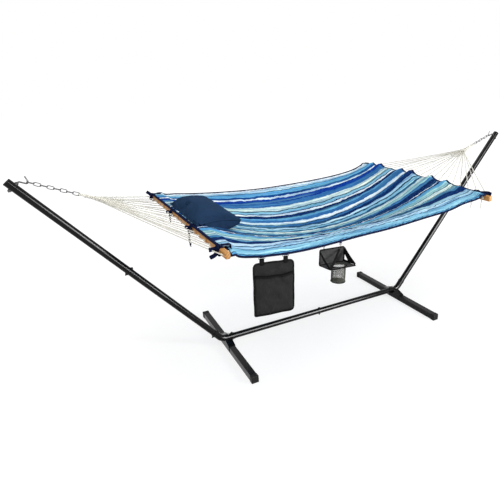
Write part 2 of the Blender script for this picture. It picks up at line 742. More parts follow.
def smooth_steps(value, table):
    """Eased steps through (place, size) pairs."""
    out = np.full(np.shape(value), table[-1][1])
    for (p0, v0), (p1, v1) in reversed(list(zip(table, table[1:]))):
        t = np.clip((value - p0) / (p1 - p0), 0, 1)
        out = np.where(value <= p1, v0 + (v1 - v0) * t * t * (3 - 2 * t), out)
    return out


def hem_line(end, y):
    """Where the bed meets a hem, at its mid thickness."""
    return end.place(end.hem_inner, y, (end.hem_low + end.hem_high) / 2)


def fade(distance, reach, power=1.0):
    """Falls off from 1 with distance."""
    return np.exp(-(distance / reach) ** power)


def ridges(t, width):
    """Sharp-topped folds, from 0 to about 1."""
    total = np.zeros(np.shape(t))
    for place, share in FOLDS:
        total = np.maximum(total, share * fade(np.abs(t - place), width, FOLD_SHARPNESS))
    return total


def bed_middle(s, t):
    """Middle surface of the bed: s from head to foot, t from the near edge (-1) to the far one."""
    cloth = bpy.context.scene.hammock_cloth
    y = t * smooth_steps(s, HALF_WIDTHS)
    flat = hem_line(ENDS["left"], y) * (1 - s)[..., None] + hem_line(ENDS["right"], y) * s[..., None]
    belly = 4 * np.clip(s * (1 - s), 0, 1)
    hollow = np.clip(1 - t * t, 0, 1) ** HOLLOW_POWER
    edge_drop = cloth.edge_sag * belly ** EDGE_FULLNESS
    flat[..., 2] -= edge_drop + (cloth.centre_sag * belly - edge_drop) * hollow
    return flat


def bed_surface(s, t):
    """The middle surface with hem folds, drooping near corner and full near edge."""
    cloth = bpy.context.scene.hammock_cloth
    p = bed_middle(np.clip(s, 0, 1), t)
    from_foot = (1 - s).clip(0)
    side_fade = 1 - t ** 10
    # hem folds, deep at the foot end and slight at the head
    fold = ridges(t + 0.04 * from_foot * np.sin(11 * t), 0.050 + 0.14 * from_foot)
    p[..., 2] += cloth.fold * fade(from_foot, FOLD_REACH) * fold * side_fade
    p[..., 2] += cloth.hem_raise * fade(from_foot, RAISE_REACH, 1.5) * (1 - 0.5 * t ** 2)
    head_fold = np.cos(2 * np.pi * t * HEAD_FOLDS) * side_fade
    p[..., 2] += HEAD_FOLD_SHARE * cloth.fold * fade(s.clip(0), HEAD_FOLD_REACH) * head_fold
    # near corners: one hangs at the head end, the edge is drawn outwards at the foot end
    near = ((-t - (1 - CORNER_WIDTH)) / CORNER_WIDTH).clip(0, 1) ** 1.6
    droop = near * fade(s, 0.045, 2)
    p += droop[..., None] * np.array([-0.012, -0.011, -cloth.droop])
    p[..., 1] -= near * (0.034 * fade(from_foot, 0.05, 2) + 0.020 * fade(from_foot - 0.14, 0.09, 2))
    # full band along the near edge
    along = np.clip(1 - np.abs(2 * s - 1) ** 6, 0, 1)
    band = ((-t - (1 - ROLL_WIDTH)) / ROLL_WIDTH).clip(0, 1)
    p[..., 2] += cloth.roll * along * np.sin(np.pi * band) ** 2
    return p


def even_across(s, columns):
    """Values of t at which each row's cloth is cut into even widths."""
    fine = np.linspace(1, -1, 260)
    rows = bed_surface(*np.broadcast_arrays(s[:, None], fine))
    steps = np.linalg.norm(np.diff(rows, axis=1), axis=2)
    arc = np.concatenate([np.zeros((len(s), 1)), np.cumsum(steps, axis=1)], axis=1)
    arc /= arc[:, -1:]
    return np.array([np.interp(np.linspace(0, 1, columns), a, fine) for a in arc])


def surface_normals(p):
    """Upward normals at the points of a grid."""
    n = np.cross(np.gradient(p, axis=0), np.gradient(p, axis=1))
    n /= np.linalg.norm(n, axis=2)[..., None]
    return n * np.sign(n[..., 2].mean())


def quilting(u, v):
    """Padding height from 0 on a line of stitching to 1 between them."""
    cloth = bpy.context.scene.hammock_cloth
    a = np.abs(np.sin(np.pi * (u / cloth.quilt_along + v / cloth.quilt_across)))
    b = np.abs(np.sin(np.pi * (u / cloth.quilt_along - v / cloth.quilt_across)))
    return np.sqrt(a * b)


def bed_grid():
    """Middle surface, half thickness and UV of bed and hem sleeves as one cloth, and the bed's size."""
    half_cloth = bpy.context.scene.hammock_cloth.thickness / 2
    s = np.linspace(0, 1, BED_ROWS)
    middle = bed_surface(np.repeat(s[:, None], BED_COLUMNS, axis=1), even_across(s, BED_COLUMNS))
    bed_length = np.linalg.norm(np.diff(middle, axis=0), axis=2).sum(axis=0).mean()
    width = np.linalg.norm(np.diff(middle, axis=1), axis=2).sum(axis=1).mean()
    u, v = np.meshgrid(s * bed_length, np.linspace(0, 1, BED_COLUMNS), indexing="ij")
    rise = quilting(u, v * width) * (0.75 + 0.25 * ripple(u, v, 0.3, 5))
    inside = np.clip(np.minimum(v, 1 - v) * width / QUILTING_STARTS, 0, 1)
    inside = inside * np.clip(np.minimum(s, 1 - s)[:, None] / 0.02, 0, 1)
    half = half_cloth + bpy.context.scene.hammock_cloth.puff * rise * inside
    sleeves = []
    for side, index in (("left", 0), ("right", -1)):
        end = ENDS[side]
        depth = end.hem_outer - end.hem_inner
        steps = np.linspace(1, 0, HEM_ROWS, endpoint=False)[:, None]
        nose = np.sqrt(np.clip(1 - (steps * 1.02) ** 6, 0.02, 1))
        thick = half_cloth + ((end.hem_high - end.hem_low) / 2 - half_cloth) * nose
        thick *= np.where(steps == 1, 0.35, 1.0)
        along = -steps * depth if index == 0 else bed_length + steps * depth
        sleeves.append((middle[index] + (steps[..., None] * depth) * end.out,
                        np.repeat(thick, BED_COLUMNS, axis=1), np.repeat(along, BED_COLUMNS, axis=1)))
    middle, half, u = (np.concatenate([head, bed, foot[::-1]])
                       for head, bed, foot in zip(sleeves[0], (middle, half, u), sleeves[1]))
    return middle, half, np.stack([u, np.repeat(v[:1], len(u), axis=0)], axis=-1), width, bed_length


def make_bed():
    """Striped, quilted cloth with both hem sleeves, as one closed sheet."""
    middle, half, uv, width, bed_length = bed_grid()
    normal = surface_normals(middle)
    u, v = uv[..., 0], uv[..., 1] * width
    gather = fade(np.minimum(v, width - v), GATHER_REACH)
    wrinkle = 0.0011 * ripple(u, v, 0.06, 11) + 0.0016 * gather * ripple(u, 0.15 * v, 0.034, 17)
    top = middle + normal * (half + wrinkle)[..., None]
    bottom = middle - normal * half[..., None]
    bed = Pile().slab(top, bottom, uv).build("quilted_bed", "striped_cloth", "hammock",
                                             ("bed", "hem_left", "hem_right"))
    weld(bed)
    make_edge_binding(middle, half)


def weld(piece):
    """Joins the coincident corners of a piece's grids."""
    work = bmesh.new()
    work.from_mesh(piece.data)
    bmesh.ops.remove_doubles(work, verts=work.verts, dist=1e-6)
    bmesh.ops.recalc_face_normals(work, faces=work.faces)
    work.to_mesh(piece.data)
    work.free()


# column of the bed's grid at each long edge, half the binding's width and how far it rides up
LONG_BINDINGS = ((0, 7.0 * MM, 3.0 * MM), (-1, 5.0 * MM, 0.0))
# row of the bed's grid at the foot and the head, how far along it the binding shows, half its width
# and how far it stands out from the cloth
END_BINDINGS = ((-2, math.inf, 9 * MM, 2.2 * MM), (1, -0.57, 8 * MM, 1.2 * MM))
FLAP_NEAR_END = -0.606
FLAP_CLOTH = 1.6 * MM


def make_edge_binding(middle, half):
    """Navy tape folded over the bed's four edges, and the flap that laps over the head end's bar."""
    pile = Pile()
    for column, size, rise in LONG_BINDINGS:
        pile.tube(even_steps(middle[:, column] + UP * rise, 6 * MM), boxy(size, size))
    for row, last, width, proud in END_BINDINGS:
        shown = middle[row][middle[row][:, 1] < last]
        pile.tube(even_steps(shown, 5 * MM), boxy(width, half[row].mean() + proud), side=X)
    return [make_head_flap(pile), pile.build("edge_binding", "navy_tape", "hammock")]


def make_head_flap(binding):
    """The head end's hem laps over the top of its bar; its outer edge is bound."""
    end = ENDS["left"]
    w, h = end.half_width, end.half_height
    profile = [(end.hem_inner + 3 * MM, end.hem_high - 2 * MM),
               (end.hem_inner + 12 * MM, end.hem_high + 1.6 * MM),
               (end.hem_outer, h + 3.0 * MM), (-w, h + 4.2 * MM), (0.0, h + 4.4 * MM),
               (w - 3 * MM, h + 3.8 * MM), (w + 0.5 * MM, h + 2.6 * MM)]
    profile = curve_through(profile, 5)
    y = np.linspace(FLAP_NEAR_END, end.hem_half_length - 2 * MM, 240)
    sway = 0.8 * MM * ripple(y, 0 * y, 0.11, 51)
    lip = np.linspace(0, 1, len(profile)) ** 3
    out = profile[None, :, 0] + sway[:, None] * lip * 1.5
    up = profile[None, :, 1] + sway[:, None] * lip
    slope = np.gradient(profile, axis=0)
    slope /= np.linalg.norm(slope, axis=1)[:, None]
    inwards, down = slope[None, :, 1] * FLAP_CLOTH, slope[None, :, 0] * FLAP_CLOTH
    top = end.place(out, y[:, None], up)
    under = end.place(out + inwards, y[:, None], up - down)
    loop = np.concatenate([top, under[:, ::-1]], axis=1)
    depth = np.concatenate([profile[:, 0], profile[::-1, 0], profile[:1, 0]]) - end.hem_inner
    uv = np.stack(np.broadcast_arrays(-depth[None], (1 - y[:, None] / end.hem_half_length) / 2), axis=-1)
    edge = end.place(w - 6.0 * MM + sway * 1.5, y, h + 3.6 * MM + sway)
    binding.tube(edge, boxy(8.0 * MM, 2.4 * MM), side=end.out)
    return Pile().grid(loop, uv, wrap_columns=True, caps=True).build(
        "hem_flap_left", "striped_cloth", "hammock")


# ---------------------------------------------------------------- straps and ties
LASHING_PLACES = tuple(0.150 * k for k in range(-3, 4))
LASHING_CORD, LASHING_LAY, LASHING_SPACING, LASHING_CLEARANCE = 1.2 * MM, 10 * MM, 2.6 * MM, 1.4 * MM
CORNER_PLACES = (-0.600, 0.600)
CORNER_TURNS, CORNER_CLEARANCE, CORNER_LEAN = (-6 * MM, 5 * MM), 6.2 * MM, 3 * MM
# width and thickness of each kind of tape; a loop's width is its own
CORNER_TAPE = (14 * MM, 2.4 * MM)
LOOP_THICKNESS = 1.8 * MM
PILLOW_BAND, PILLOW_TAPE, HEM_TAPE = (12 * MM, 2.0 * MM), (12 * MM, 1.8 * MM), (15 * MM, 2.4 * MM)
TAIL_TAPE, WING_TAPE = (13 * MM, 1.6 * MM), (9 * MM, 1.6 * MM)
TAIL_TWIST = 24 * MM  # of tail for each full turn


def hem_rise(end, y):
    """How far the visible hem stands above its straight sleeve at a place along it."""
    if end.side == "left":
        return 0.0
    s, t = np.ones(1), np.array([y / HALF_WIDTHS[-1][1]])
    return float((bed_surface(s, t) - bed_middle(s, t))[0, 2])


def strap_outline(end, y, grow):
    """2D loop (outwards, up) round the bar and the outer half of the hem."""
    hole = (end.hem_inner + end.hem_outer) / 2
    w, h = end.half_width + grow, end.half_height + grow
    hem_top = end.hem_high + hem_rise(end, y) + grow
    corners = [(w, -h), (w, h), (end.hem_outer - grow, max(h, hem_top)), (hole, hem_top),
               (hole, end.hem_low - grow)]
    return rounded_outline(corners, [7 * MM, 7 * MM, 3 * MM, 3 * MM, 3 * MM])


def round_bar(end, y, outline, step):
    """Closed path round the bar, along a 2D outline."""
    return even_loop(end.place(outline[:, 0], y, outline[:, 1]), step)


def strap_path(end, y, grow, wobble):
    """Closed path round bar and hem that leans a little to both sides."""
    path = round_bar(end, y, strap_outline(end, y, grow), 3.5 * MM)
    return path + wobble * np.sin(full_turn(len(path)))[:, None] * end.along


def make_hem_lashings():
    """Two turns of tan cord round bar and hem at each hole of the hem."""
    for side, end in ENDS.items():
        pile = Pile()
        for i, y in enumerate(LASHING_PLACES):
            for turn in (-0.5, 0.5):
                path = strap_path(end, y + turn * LASHING_SPACING, LASHING_CLEARANCE,
                                  1.0 * MM * math.cos(i * 2.3 + turn))
                rope(pile, path, LASHING_CORD, LASHING_LAY, closed=True)
        pile.build("hem_lashings_" + side, "tan_cord", "hammock", ("hem_straps_" + side,))


def ribbon(pile, points, size, side, twist=0.0):
    """Flat ribbon along a smooth curve, turned over a number of times on the way."""
    path = even_steps(curve_through(points, 10), 2.5 * MM)
    turn = np.linspace(0, twist * 2 * np.pi, len(path))
    pile.tube(path, flat_band(*size), side=side, turn=turn)


def knot(pile, centre, axes, size, shape, count, section):
    """Tight knot: a cord that crosses over itself about three axes, by mean reach, swing and depth."""
    mean, swing, depth = shape
    a, b, c = axes
    k = full_turn(count)
    r = size * (mean + swing * np.cos(3 * k))
    path = (centre + (r * np.cos(2 * k))[:, None] * a + (r * np.sin(2 * k))[:, None] * b
            + (size * depth * np.sin(3 * k))[:, None] * c)
    pile.tube(path, section, closed=True)


def knot_ball(pile, centre, axes, size, cord):
    """Knot in a tape, drawn tight into a ball."""
    knot(pile, centre, axes, size, (0.62, 0.38, 0.55), 48, circle(cord, 8))


def flat_loop(pile, points, width):
    """Loop of ribbon pressed flat: out along a curve and back just beside it."""
    path = curve_through(points, 8)
    tangent = unit(path[-1] - path[0])
    off = unit(np.cross(tangent, UP + 0.3 * np.cross(UP, tangent))) * 2.2 * MM
    both = np.concatenate([path + off, path[-1:] + tangent * 2.5 * MM, path[::-1] - off])
    side = unit(UP - (UP @ tangent) * tangent)
    pile.tube(even_steps(both, 3 * MM), flat_band(width, LOOP_THICKNESS), side=side)


# flattened loops and tails of each corner tie, by end and whether it is the near one: points
# (outwards, along from the tie, above the bar's top edge), all in millimetres, and ribbon width
TIE_LOOPS = {
    ("left", True): (([(2, 0, -4), (18, -2, -3), (36, -2, -4)], 17),
                     ([(3, -2, -18), (15, -5, -30), (36, -8, -36)], 17),
                     ([(-9, 4, 8), (-4, -9, 13), (3, -18, 8)], 15)),
    ("left", False): (([(2, 0, 0), (14, 4, 14), (26, 10, 24)], 19),
                      ([(4, -6, -2), (12, -10, -12), (16, -14, -22)], 12)),
    ("right", True): (([(2, -14, 0), (12, -30, 3), (20, -44, -2)], 26),
                      ([(-6, -20, 4), (0, -40, 6), (4, -58, 2)], 26),
                      ([(-26, -10, 6), (-16, -30, 10), (-8, -46, 8)], 20)),
    ("right", False): (([(2, 0, 0), (14, 10, 8), (24, 20, 6)], 13),
                       ([(4, -4, -2), (12, -10, -14), (14, -14, -26)], 12)),
}
# the lump on top of the hem, past the bar's inner face, along, above the hem, and its size, in
# millimetres: a full bow at the head end's near corner, a flat knot at the others
BOW_LUMP = (17, -5, 4, 13)
FLAT_LUMP = (-8, 0, 0, 5)


def make_corner_ties():
    """Webbing round bar and hem at the four corners, knotted into flat, crumpled bows."""
    for side, end in ENDS.items():
        pile = Pile()
        outer, top = end.half_width + 4 * MM, end.half_height
        for y in CORNER_PLACES:
            near = end.place(0.0, y, 0.0)[1] < 0
            for shift in CORNER_TURNS:
                path = strap_path(end, y + shift, CORNER_CLEARANCE + abs(shift) / 6, CORNER_LEAN)
                pile.tube(path, flat_band(*CORNER_TAPE), closed=True, side=end.along)
            for points, width in TIE_LOOPS[side, near]:
                loop = [(outer + a * MM, y + b * MM, top + c * MM) for a, b, c in points]
                flat_loop(pile, end.places(loop), width * MM)
            knot_ball(pile, end.place(outer + 2 * MM, y, top - 6 * MM), (end.along, UP, end.out),
                      size=10 * MM, cord=4.4 * MM)
            a, b, c, size = BOW_LUMP if side == "left" and near else FLAT_LUMP
            lump = end.place(-end.half_width + a * MM, y + b * MM,
                             end.hem_high + hem_rise(end, y) + c * MM)
            knot_ball(pile, lump, (end.out, end.along, UP), size=size * MM, cord=4.6 * MM)
        pile.build("corner_bows_" + side, "navy_tape", "hammock", ("corner_ties_" + side,))


# places along the head end's bar, and how far the two tails hang, in millimetres
PILLOW_TIES = ((0.130, (52, 40)), (-0.225, (88, 70)), (-0.248, None))


def make_pillow_ties():
    """Tapes from the pillow's edge, knotted round the head end's bar; the last lies along the hem."""
    end = ENDS["left"]
    pile = Pile()
    front, back = end.half_width + 6 * MM, -end.half_width - 2 * MM
    low, high, top = -end.half_height - 2 * MM, end.half_height + 7 * MM, end.half_height + 8 * MM
    outline = rounded_outline([(front, low), (front, high), (back, high), (back, low)], 6 * MM)
    for y, drops in PILLOW_TIES:
        loop = round_bar(end, y, outline, 3 * MM)
        pile.tube(loop, flat_band(*PILLOW_BAND), closed=True, side=end.along)
        edge = (end.bar + end.along * y)[0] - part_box("pillow")[0][0]
        reach = [(end.half_width * 0.5, y, top + 1 * MM), (-end.half_width, y, top + 2 * MM),
                 (edge + 6 * MM, y, 28 * MM), (edge - 1 * MM, y, 34 * MM)]
        ribbon(pile, end.places(reach), PILLOW_TAPE, end.along)
        if drops:
            hanging_knot(pile, end, y, drops)
            continue
        along_hem = [(-end.half_width - 10 * MM, y, top - 1 * MM),
                     (-end.half_width - 4 * MM, y - 12 * MM, top + 4 * MM),
                     (-end.half_width - 8 * MM, y - 26 * MM, top - 1 * MM)]
        ribbon(pile, end.places(along_hem), HEM_TAPE, UP)
    pile.build("pillow_tapes", "navy_tape", "hammock", ("pillow_ties",))


def hanging_knot(pile, end, y, drops):
    """Knot on the bar's outer face with two twisted tails and a small bow wing."""
    face = end.half_width + 9 * MM
    knot_ball(pile, end.place(face, y, 10 * MM), (end.along, UP, end.out), size=8 * MM, cord=4.8 * MM)
    for turn, drop in zip((-1, 1), np.array(drops) * MM):
        tail = [(face, y, 8 * MM), (face + 7 * MM, y + turn * 4 * MM, 0.0),
                (face + 6 * MM, y + turn * 6 * MM, -drop * 0.5), (face + 4 * MM, y + turn * 3 * MM, -drop)]
        ribbon(pile, end.places(tail), TAIL_TAPE, end.along, turn * drop / TAIL_TWIST)
    wing = [(face, y, 10 * MM), (face + 12 * MM, y + 10 * MM, 16 * MM),
            (face + 18 * MM, y + 22 * MM, 4 * MM), (face + 8 * MM, y + 12 * MM, 0.0), (face, y, 8 * MM)]
    ribbon(pile, end.places(wing), WING_TAPE, UP)


# ---------------------------------------------------------------- ropes
FAN_TAIL, NEAR_FOOT_TAILS = (9, 16), (64, 76, 58)  # ends below the knots, in millimetres
CLEW_COLUMN, CLEW_LAYER = 9.4, 5.6  # spacing of the ropes in a clew, in millimetres
WEFT_ROWS, WEFT_START, WEFT_SKIP, WEFT_SHARE, WEFT_RISE = 12, 25, 0.7, 0.62, 2.4 * MM
CLEW_ROWS, CLEW_HALF_WIDTH, NECK_RADIUS = 5, 29 * MM, 3.6 * MM
EYE_CORD, EYE_LAY, WHIPPING_CORD = 4 * MM, 26 * MM, 1.5 * MM
GOLDEN_ANGLE = 2.399


def rope(pile, path, radius, lay, closed=False):
    """Three-strand rope along a path, in eight steps to each twist; a closed one has whole twists."""
    path = even_loop(path, lay / 8) if closed else even_steps(path, lay / 8)
    turn = np.arange(len(path)) * 2 * np.pi
    turn = turn * max(1, round(len(path) / 8)) / len(path) if closed else turn / 8
    pile.tube(path, laid_rope(radius), closed, turn=turn)


def knot_at(pile, centre, out, radius, tail, lean):
    """Overhand knot with a short tail that hangs from it."""
    side = unit(np.cross(UP, out))
    knot(pile, centre, (side, UP, out), MM, (3.4, 1.7, 1.9), 40, circle(radius * 0.95, 7))
    points = [centre - out * 2 * MM, centre - out * 7 * MM - UP * 3 * MM + side * lean * 0.3,
              centre - out * 8 * MM - UP * tail * 0.6 + side * lean * 0.8,
              centre - out * 7 * MM - UP * tail + side * lean]
    rope(pile, curve_through(points, 8), radius * 0.95, 14 * MM)


def strand_starts(end, count):
    """Where each rope leaves the clew, in three layers, and the direction across the layers."""
    rows, columns = 3, count // 3
    top = unit(np.cross(end.pull, end.along))
    top = top * np.sign(top[2])
    out = []
    for i in range(count):
        column, row = divmod(i, rows)
        out.append(end.clew_wide + Y * (column - (columns - 1) / 2) * CLEW_COLUMN * MM
                   + top * (row - 1) * CLEW_LAYER * MM)
    return out, top


def make_fans():
    """Ropes from the clew through the bar's holes, each knotted behind it, and the web by the clew."""
    settings = bpy.context.scene.hammock_ropes
    rng = np.random.default_rng(4)
    for side, end in ENDS.items():
        pile = Pile()
        strands = []
        for i, start in enumerate(strand_starts(end, settings.strands)[0]):
            y = (i - (settings.strands - 1) / 2) * settings.pitch
            hole = end.place(0.0, y * np.sign(end.along[1]), 0.0)
            mouth = hole + end.out * (end.half_width + 8 * MM)
            middle = (start + mouth) / 2 - UP * (rng.uniform(1.0, 4.0) * MM)
            inner = hole - end.out * (end.half_width + 5 * MM)
            path = curve_through([start + end.pull * 6 * MM, start, middle, mouth,
                                  hole + end.out * end.half_width, hole, inner], 24)
            rope(pile, path, settings.radius, settings.lay)
            strands.append(path)
            near_foot = side == "right" and i < len(NEAR_FOOT_TAILS)
            tail = (NEAR_FOOT_TAILS[i] if near_foot else rng.uniform(*FAN_TAIL)) * MM
            knot_at(pile, inner, end.out, settings.radius, tail, rng.uniform(-6, 6) * MM)
        # weft cords over and under the strands, each row a little narrower than the last
        for k in range(WEFT_ROWS):
            skip = round(WEFT_SKIP * k)
            row = [path[WEFT_START + k] + UP * (WEFT_RISE * (-1) ** (i + k))
                   for i, path in enumerate(strands)]
            row = curve_through(row[skip:len(row) - skip], 3)
            rope(pile, row, settings.radius * WEFT_SHARE, settings.lay)
        pile.build("rope_fan_" + side, "rope_fibre", "hammock", ("fan_ropes_" + side,))


def make_clews():
    """Ropes drawn together, cross-woven, whipped at the neck, and the eye that the chain holds."""
    settings = bpy.context.scene.hammock_ropes
    for side, end in ENDS.items():
        pile = Pile()
        starts, top = strand_starts(end, settings.strands)
        reach = np.linalg.norm(end.clew_neck - end.clew_wide)
        for i, start in enumerate(starts):
            offset = start - end.clew_wide
            turn = i * GOLDEN_ANGLE
            neck = end.clew_neck + (Y * math.cos(turn) + top * math.sin(turn)) * NECK_RADIUS
            path = curve_through([start - end.pull * 4 * MM,
                                  start + end.pull * reach * 0.35 - offset * 0.15,
                                  start + end.pull * reach * 0.7 - offset * 0.62, neck], 10)
            rope(pile, path, settings.radius, settings.lay)
        wave = np.linspace(-1, 1, 60)
        for k in range(CLEW_ROWS):
            d = reach * (0.06 + 0.15 * k)
            width = CLEW_HALF_WIDTH * (1 - 0.75 * d / reach) + 4 * MM
            lift = np.cos(wave * np.pi * 6 + np.pi * k) * (5.5 - 0.4 * k) * MM
            path = end.clew_wide + end.pull * d + wave[:, None] * Y * width + lift[:, None] * top
            rope(pile, path, settings.radius * 0.9, settings.lay)
        whipping(pile, end.clew_neck - end.pull * 16 * MM, end.pull, top, 7.6 * MM, 6, 2.6 * MM)
        pile.build("clew_weave_" + side, "rope_fibre", "hammock", ("clew_" + side,))
        make_eye(side, end, top)


def whipping(pile, start, pull, top, radius, turns, step):
    """Close turns of cord round the neck."""
    a = np.linspace(0, 2 * np.pi * turns, turns * 18)
    path = (start + (a / (2 * np.pi) * step)[:, None] * pull + (np.cos(a) * radius)[:, None] * Y
            + (np.sin(a) * radius)[:, None] * top)
    pile.tube(path, circle(WHIPPING_CORD, 7))


def make_eye(side, end, top):
    """Spliced eye of thicker rope, as long and wide as the frame's."""
    points = node_points("rope_eye_" + side)
    far, near = extreme(points, end.pull), extreme(points, -end.pull)
    centre = (far + near) / 2
    lateral = max((Y, top), key=lambda axis: span(points, centre, axis)[1])
    wide = span(points, centre, lateral)[1]
    a = full_turn(60)
    along = np.sign(np.cos(a)) * np.abs(np.cos(a)) ** 0.9 * (np.linalg.norm(far - near) / 2 - EYE_CORD)
    out = np.sign(np.sin(a)) * np.abs(np.sin(a)) ** 0.8 * (wide - EYE_CORD)
    path = centre + along[:, None] * end.pull + out[:, None] * lateral
    pile = Pile()
    rope(pile, path, EYE_CORD, EYE_LAY, closed=True)
    whipping(pile, near + end.pull * 1 * MM, end.pull, top, 7.8 * MM, 3, 2.8 * MM)
    pile.build("spliced_eye_" + side, "rope_fibre", "hammock", ("rope_eye_" + side,))


# ---------------------------------------------------------------- pillow
PILLOW_NX, PILLOW_NY = 48, 92
PILLOW_TILT = math.radians(5)
HEAD_OVERHANG = 0.0165  # how far the head side's seam passes the frame's pillow
SEWN_LENGTH, SEWN_WIDTH, SEWN_HEIGHT = 1.08, 1.06, 0.075  # shares of the frame's pillow, and metres
CLEARANCE = 3.5 * MM
PIPING = 3.4 * MM


def cushion_shell(size_x, size_y, height):
    """Two lens-shaped skins that share their seam: points, faces, the seam's indices and the UVs."""
    nx, ny = PILLOW_NX, PILLOW_NY
    gx, gy = np.meshgrid(np.linspace(-1, 1, nx), np.linspace(-1, 1, ny), indexing="ij")
    dome = ((1 - gx ** 2) * (1 - gy ** 2)).clip(0) ** 0.5
    px = gx * size_x / 2 * (1 - 0.045 * (1 - gy ** 2) * gx ** 2)
    py = gy * size_y / 2 * (1 - 0.035 * (1 - gx ** 2) * gy ** 2)
    top = np.stack([px, py, dome * height / 2], axis=-1)
    upper = np.arange(nx * ny).reshape(nx, ny)
    lower = upper.copy()
    lower[1:-1, 1:-1] = nx * ny + np.arange((nx - 2) * (ny - 2)).reshape(nx - 2, ny - 2)
    points = np.concatenate([top.reshape(-1, 3), (top * [1, 1, -1])[1:-1, 1:-1].reshape(-1, 3)])
    faces = []
    for skin, flip in ((upper, False), (lower, True)):
        quads = np.stack([skin[:-1, :-1], skin[1:, :-1], skin[1:, 1:], skin[:-1, 1:]], axis=-1)
        quads = quads.reshape(-1, 4)
        faces += (quads[:, ::-1] if flip else quads).tolist()
    seam = np.concatenate([upper[:-1, 0], upper[-1, :-1], upper[::-1, -1][:-1], upper[0, ::-1][:-1]])
    return points, faces, seam, points[:, :2]


def inflate(piece, pressure, frames, cap):
    """Swells a closed cloth mesh under pressure and keeps the result, moved by no more than the cap."""
    rest = vertices(piece.data)
    cloth = piece.modifiers.new("Cloth", "CLOTH")
    for key, value in dict(quality=6, mass=0.25, tension_stiffness=18, compression_stiffness=18,
                           shear_stiffness=6, bending_stiffness=0.6, use_pressure=True,
                           uniform_pressure_force=pressure).items():
        setattr(cloth.settings, key, value)
    cloth.settings.effector_weights.gravity = 0.0
    scene = bpy.context.scene
    for step in range(1, frames + 1):
        scene.frame_set(step)
    shown = piece.evaluated_get(bpy.context.evaluated_depsgraph_get())
    move = vertices(shown.to_mesh()) - rest
    shown.to_mesh_clear()
    piece.modifiers.remove(cloth)
    scene.frame_set(1)
    size = np.linalg.norm(move, axis=1)[:, None]
    move *= np.minimum(1, cap / np.maximum(size, 1e-9))
    piece.data.vertices.foreach_set("co", (rest + move).ravel())


def make_pillow():
    """Sewn pillow, swollen by simulation, then settled on the bed."""
    low, high = (np.array(c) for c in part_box("pillow"))
    size = high - low
    points, faces, seam, uv = cushion_shell(size[0] * SEWN_LENGTH, size[1] * SEWN_WIDTH, SEWN_HEIGHT)
    piece = smooth_mesh("pillow_case", points, faces, uv[np.ravel(faces)])
    inflate(piece, pressure=4.5, frames=22, cap=0.045)
    settle_pillow(piece, low, high)
    smooth = piece.modifiers.new("Smooth", "SUBSURF")
    smooth.levels = smooth.render_levels = 1
    finish_piece(piece, "pillow_cloth", "pillow", ("pillow",))
    make_piping(piece, seam)


def fitted_plan(co, size):
    """The swollen pillow's plan, stretched to its size and drawn in where the real one is."""
    x, y = (co[:, i] * size[i] / np.ptp(co[:, i]) for i in (0, 1))
    # the head side's seam runs straight along the bar
    lanes = np.linspace(-0.5, 0.5, 41)
    nearest = np.abs(y[:, None] / size[1] - lanes).argmin(axis=1)
    reach = np.array([x[nearest == k].min() for k in range(len(lanes))])
    ratio = np.minimum(-(size[0] / 2 + HEAD_OVERHANG) / reach, 2.2)
    ratio[0] = ratio[-1] = 1.0
    ratio = np.convolve(np.pad(ratio, 3, mode="edge"), np.ones(7) / 7, "valid")
    x = np.where(x < 0, x * np.interp(y / size[1], lanes, ratio), x)
    # the foot side's corners point outwards, and that side is shorter, more so at the near end
    corner = (2 * x / size[0]).clip(0, 1) ** 5 * (np.abs(2 * y / size[1])).clip(0, 1) ** 5
    x, y = x + 0.006 * corner, y * (1 + 0.05 * corner)
    foot_side = ((x / size[0]) + 0.5).clip(0, 1)
    y = np.where(y < 0, y * (1 - 0.10 * foot_side ** 1.3), y)
    far = (2 * y / size[1]).clip(0, 1)
    x = np.where(x > 0, x * (0.91 - 0.03 * far), x)
    return x, np.where(y < 0, y * 1.03, y), far


def settle_pillow(piece, low, high):
    """Sets the swollen pillow between its bar and the bed, its underside resting on the cloth."""
    cloth = bpy.context.scene.hammock_cloth
    size, middle = high - low, (low + high) / 2
    co = vertices(piece.data)
    x, y, far = fitted_plan(co, size)
    z = co[:, 2] / co[:, 2].max()
    near = (-y / size[1] * 2).clip(0, 1)
    head_side = (0.5 - x / size[0]).clip(0, 1)
    seam = cloth.pillow_seam - x * math.sin(PILLOW_TILT) - 0.022 * head_side ** 5 * (0.6 + 0.4 * far)
    crown = cloth.pillow_crown * (0.72 + 0.24 * head_side)
    wz = seam + np.where(z > 0, z.clip(0) ** 0.85 * crown, -(-z).clip(0) ** 0.6 * cloth.pillow_belly)
    wx = middle[0] + x * math.cos(PILLOW_TILT)
    wy = middle[1] + y - (0.004 + 0.013 * (-z).clip(0, 1) ** 0.5) * near ** 2
    wz += 0.0025 * ripple(x, y, 0.15, 8) * np.abs(z)
    wz = np.maximum(wz, bed_height(wx, wy) + CLEARANCE)
    piece.data.vertices.foreach_set("co", np.stack([wx, wy, wz], axis=1).ravel())
    piece.data.update()


def bed_height(x, y):
    """Height of the bed's top, and past its head end, of the lapped hem."""
    left, right = (hem_line(ENDS[side], np.zeros(1))[0, 0] for side in ("left", "right"))
    s = (x - left) / (right - left)
    t = y / smooth_steps(s.clip(0, 1), HALF_WIDTHS)
    z = bed_surface(s.clip(0, 1), t.clip(-1, 1))[..., 2] + bpy.context.scene.hammock_cloth.thickness / 2
    return np.where(s < 0.002, ENDS["left"].bar[2] + ENDS["left"].half_height + 4.5 * MM, z)


def make_piping(piece, seam):
    """Cord sewn into the pillow's seam."""
    shown = piece.evaluated_get(bpy.context.evaluated_depsgraph_get()).data
    path = even_loop(vertices(shown)[seam], 4 * MM)
    Pile().tube(path, circle(PIPING, 8), closed=True).build(
        "pillow_piping", "pillow_cloth", "pillow")


